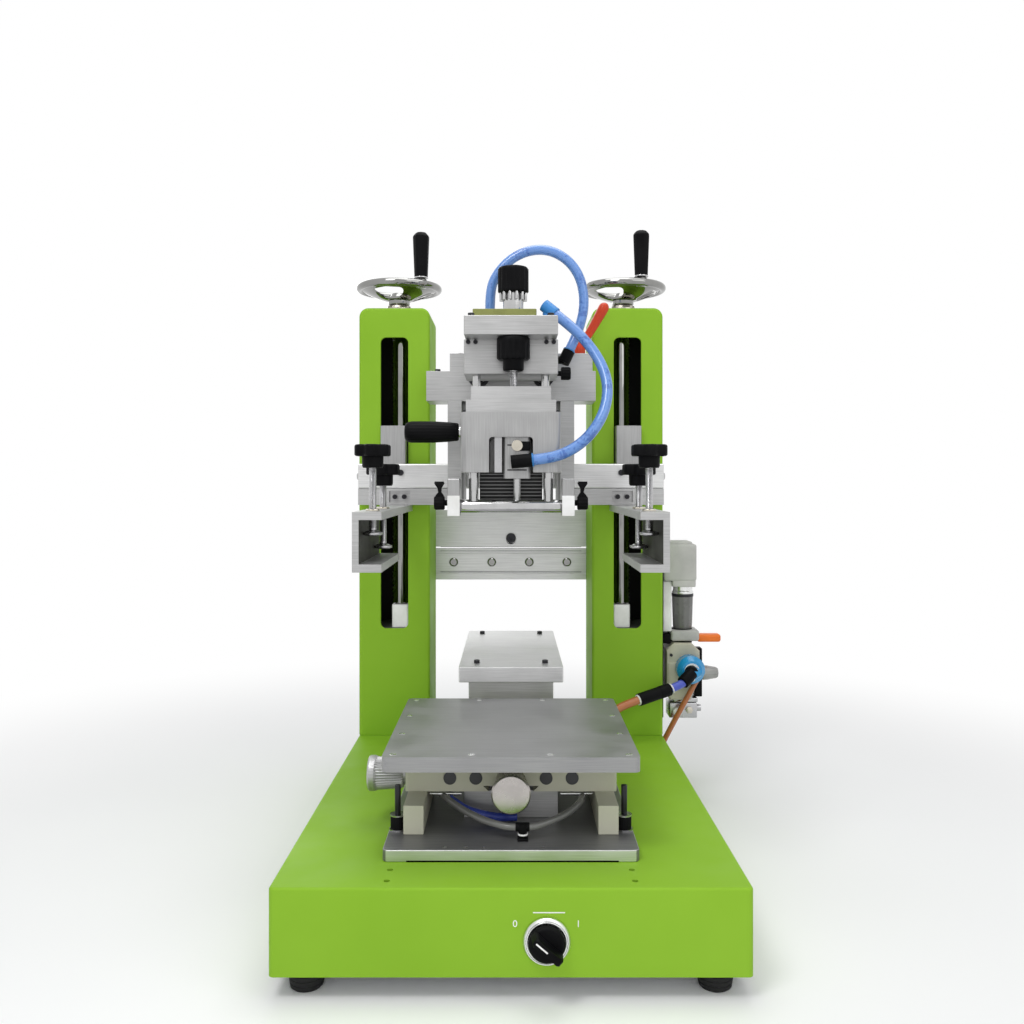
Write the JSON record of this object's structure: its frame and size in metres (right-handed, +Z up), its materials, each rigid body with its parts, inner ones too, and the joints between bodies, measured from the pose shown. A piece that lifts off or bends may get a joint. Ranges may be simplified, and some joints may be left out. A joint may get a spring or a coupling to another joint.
{
  "type": "tabletop screen printing press",
  "caption": "Bench screen printing press: base box, slotted columns, crank-lifted beam with clamp arms, sliding print head and an adjustable work table.",
  "frame": {"origin": "on the plane of the feet, under the middle of the base", "axes": "+X to the press's right seen from the front, +Y to the rear, +Z up"},
  "size_m": [0.3738, 0.517, 0.5695],
  "materials": {
    "green_paint": "gloss green powder coat",
    "rubber": "black rubber",
    "steel_zinc": "zinc plated sheet",
    "bezel": "bright ring",
    "black_plastic": "black moulded plastic",
    "aluminium": "machined and anodised",
    "aluminium_dark": "brushed plate",
    "chrome": "polished",
    "steel": "ground steel",
    "nylon": "white nylon",
    "cream": "cream anodised",
    "cap": "yellow-green plate",
    "orange": "orange-red moulding",
    "hose": "light blue hose",
    "red_tube": "red tube",
    "blue": "blue fitting",
    "grey_plastic": "grey moulding",
    "brass": "nickel plated brass"
  },
  "bodies": {
    "root": {"base_housing": "green_paint", "base_bottom_plate": "steel_zinc", "rubber_feet": "rubber", "selector_bezel": "bezel", "left_column": "green_paint", "right_column": "green_paint", "column_back_covers": "green_paint", "column_top_bearings": "aluminium", "shaft_supports": "aluminium_dark", "shaft_caps": "nylon", "guide_shafts": "chrome", "rear_tie_beam": "aluminium", "rear_rest_block": "aluminium", "table_base_plate": "aluminium_dark", "table_lower_stage": "cream", "air_plate": "black_plastic", "air_unit": "grey_plastic", "air_fittings": "blue", "supply_tubes": "red_tube"},
    "selector": {"selector_knob": "black_plastic"},
    "table_carriage": {"table_middle_stage": "cream"},
    "front_knob": {"table_front_knob": "aluminium"},
    "side_knob": {"table_side_knob": "aluminium"},
    "table_top": {"table_upper_stage": "cream", "table_top_plate": "aluminium_dark"},
    "left_wheel": {"left_handwheel": "chrome", "left_lead_screw": "steel"},
    "right_wheel": {"right_handwheel": "chrome", "right_lead_screw": "steel"},
    "left_grip": {"left_crank_grip": "black_plastic"},
    "right_grip": {"right_crank_grip": "black_plastic"},
    "lift": {"lift_sliders": "aluminium", "cross_beam": "aluminium", "head_bearing_block": "aluminium"},
    "lever": {"clamp_lever": "orange"},
    "carriage": {"stroke_rods": "chrome", "head_middle_block": "aluminium", "head_top_block": "aluminium", "head_cap_plate": "cap", "hose_fittings": "brass", "air_hose_a": "hose", "air_hose_b": "hose"},
    "cap_knob": {"upper_knob": "black_plastic"},
    "pressure_knob": {"lower_knob": "black_plastic"},
    "lower_head": {"pressure_block": "aluminium", "head_housing": "aluminium", "head_cylinder": "aluminium_dark", "pull_handle": "black_plastic"},
    "squeegee": {"squeegee_holder": "chrome", "thumb_screws": "black_plastic"},
    "left_arm": {"left_clamp_arm": "aluminium"},
    "left_front_screw": {"left_front_clamp_screw": "steel"},
    "left_front_knob": {"left_front_clamp_knob": "black_plastic"},
    "left_rear_screw": {"left_rear_clamp_screw": "steel"},
    "left_rear_knob": {"left_rear_clamp_knob": "black_plastic"},
    "right_arm": {"right_clamp_arm": "aluminium"},
    "right_front_screw": {"right_front_clamp_screw": "steel"},
    "right_front_knob": {"right_front_clamp_knob": "black_plastic"},
    "right_rear_screw": {"right_rear_clamp_screw": "steel"},
    "right_rear_knob": {"right_rear_clamp_knob": "black_plastic"}
  },
  "joints": [
    {"name": "selector_turn", "type": "hinge", "parent": "root", "child": "selector", "pos_m": [0.022, -0.25, 0.038], "axis": [0, 1, 0], "range_deg": [0, 80]},
    {"name": "table_y_slide", "type": "slide", "parent": "root", "child": "table_carriage", "axis": [0, 1, 0], "range_m": [-0.01, 0.01]},
    {"name": "front_knob_turn", "type": "hinge", "parent": "table_carriage", "child": "front_knob", "pos_m": [0, -0.153, 0.107], "axis": [0, 1, 0], "range_deg": [-3600, 3600]},
    {"name": "table_x_slide", "type": "slide", "parent": "table_carriage", "child": "table_top", "axis": [1, 0, 0], "range_m": [-0.01, 0.01]},
    {"name": "side_knob_turn", "type": "hinge", "parent": "table_carriage", "child": "side_knob", "pos_m": [-0.076, -0.139, 0.107], "axis": [1, 0, 0], "range_deg": [-3600, 3600]},
    {"name": "left_wheel_turn", "type": "hinge", "parent": "root", "child": "left_wheel", "pos_m": [-0.115, 0.142, 0.492], "axis": [0, 0, 1], "range_deg": [-8100, 7200]},
    {"name": "right_wheel_turn", "type": "hinge", "parent": "root", "child": "right_wheel", "pos_m": [0.115, 0.142, 0.492], "axis": [0, 0, 1], "range_deg": [-8100, 7200]},
    {"name": "lift_slide", "type": "slide", "parent": "root", "child": "lift", "axis": [0, 0, 1], "range_m": [-0.09, 0.08]},
    {"name": "left_grip_spin", "type": "hinge", "parent": "left_wheel", "child": "left_grip", "pos_m": [-0.09, 0.116, 0.518], "axis": [0, 0, 1], "continuous": true},
    {"name": "right_grip_spin", "type": "hinge", "parent": "right_wheel", "child": "right_grip", "pos_m": [0.1295, 0.109, 0.518], "axis": [0, 0, 1], "continuous": true},
    {"name": "clamp_lever_turn", "type": "hinge", "parent": "lift", "child": "lever", "pos_m": [0.062, 0.07, 0.3955], "axis": [0, 0, 1], "range_deg": [-30, 90]},
    {"name": "print_stroke", "type": "slide", "parent": "lift", "child": "carriage", "axis": [0, -1, 0], "range_m": [-0.015, 0.105]},
    {"name": "cap_knob_turn", "type": "hinge", "parent": "carriage", "child": "cap_knob", "pos_m": [0.002, 0, 0.457], "axis": [0, 0, 1], "range_deg": [-360, 360]},
    {"name": "pressure_knob_turn", "type": "hinge", "parent": "carriage", "child": "pressure_knob", "pos_m": [0.002, -0.044, 0.441], "axis": [0, 0, 1], "range_deg": [-1152, 1152]},
    {"name": "head_height_slide", "type": "slide", "parent": "carriage", "child": "lower_head", "axis": [0, 0, 1], "range_m": [-0.004, 0.004], "deforming": ["air_hose_a"]},
    {"name": "squeegee_slide", "type": "slide", "parent": "lower_head", "child": "squeegee", "axis": [0, 0, 1], "range_m": [-0.01, 0.015]},
    {"name": "left_arm_slide", "type": "slide", "parent": "lift", "child": "left_arm", "axis": [-1, 0, 0], "range_m": [-0.01, 0.01]},
    {"name": "left_front_clamp_slide", "type": "slide", "parent": "left_arm", "child": "left_front_screw", "axis": [0, 0, -1], "range_m": [-0.002, 0.018]},
    {"name": "left_front_knob_turn", "type": "hinge", "parent": "left_front_screw", "child": "left_front_knob", "pos_m": [-0.106, -0.107, 0.298], "axis": [0, 0, -1], "range_deg": [-720, 6480]},
    {"name": "left_rear_clamp_slide", "type": "slide", "parent": "left_arm", "child": "left_rear_screw", "axis": [0, 0, -1], "range_m": [-0.022, 0.004]},
    {"name": "left_rear_knob_turn", "type": "hinge", "parent": "left_rear_screw", "child": "left_rear_knob", "pos_m": [-0.106, -0.048, 0.298], "axis": [0, 0, -1], "range_deg": [-7920, 1440]},
    {"name": "right_arm_slide", "type": "slide", "parent": "lift", "child": "right_arm", "axis": [1, 0, 0], "range_m": [-0.01, 0.01]},
    {"name": "right_front_clamp_slide", "type": "slide", "parent": "right_arm", "child": "right_front_screw", "axis": [0, 0, -1], "range_m": [-0.002, 0.018]},
    {"name": "right_front_knob_turn", "type": "hinge", "parent": "right_front_screw", "child": "right_front_knob", "pos_m": [0.106, -0.107, 0.298], "axis": [0, 0, -1], "range_deg": [-720, 6480]},
    {"name": "right_rear_clamp_slide", "type": "slide", "parent": "right_arm", "child": "right_rear_screw", "axis": [0, 0, -1], "range_m": [-0.022, 0.004]},
    {"name": "right_rear_knob_turn", "type": "hinge", "parent": "right_rear_screw", "child": "right_rear_knob", "pos_m": [0.106, -0.048, 0.298], "axis": [0, 0, -1], "range_deg": [-7920, 1440]}
  ],
  "couplings": [
    {"joint": "front_knob_turn", "follows": "table_y_slide", "rad_per_m": 6283.2},
    {"joint": "side_knob_turn", "follows": "table_x_slide", "rad_per_m": 6283.2},
    {"joint": "left_wheel_turn", "follows": "lift_slide", "rad_per_m": 1570.8},
    {"joint": "right_wheel_turn", "follows": "lift_slide", "rad_per_m": 1570.8},
    {"joint": "pressure_knob_turn", "follows": "head_height_slide", "rad_per_m": 5026.5},
    {"joint": "left_front_knob_turn", "follows": "left_front_clamp_slide", "rad_per_m": 6283.2},
    {"joint": "left_rear_knob_turn", "follows": "left_rear_clamp_slide", "rad_per_m": 6283.2},
    {"joint": "right_front_knob_turn", "follows": "right_front_clamp_slide", "rad_per_m": 6283.2},
    {"joint": "right_rear_knob_turn", "follows": "right_rear_clamp_slide", "rad_per_m": 6283.2}
  ]
}
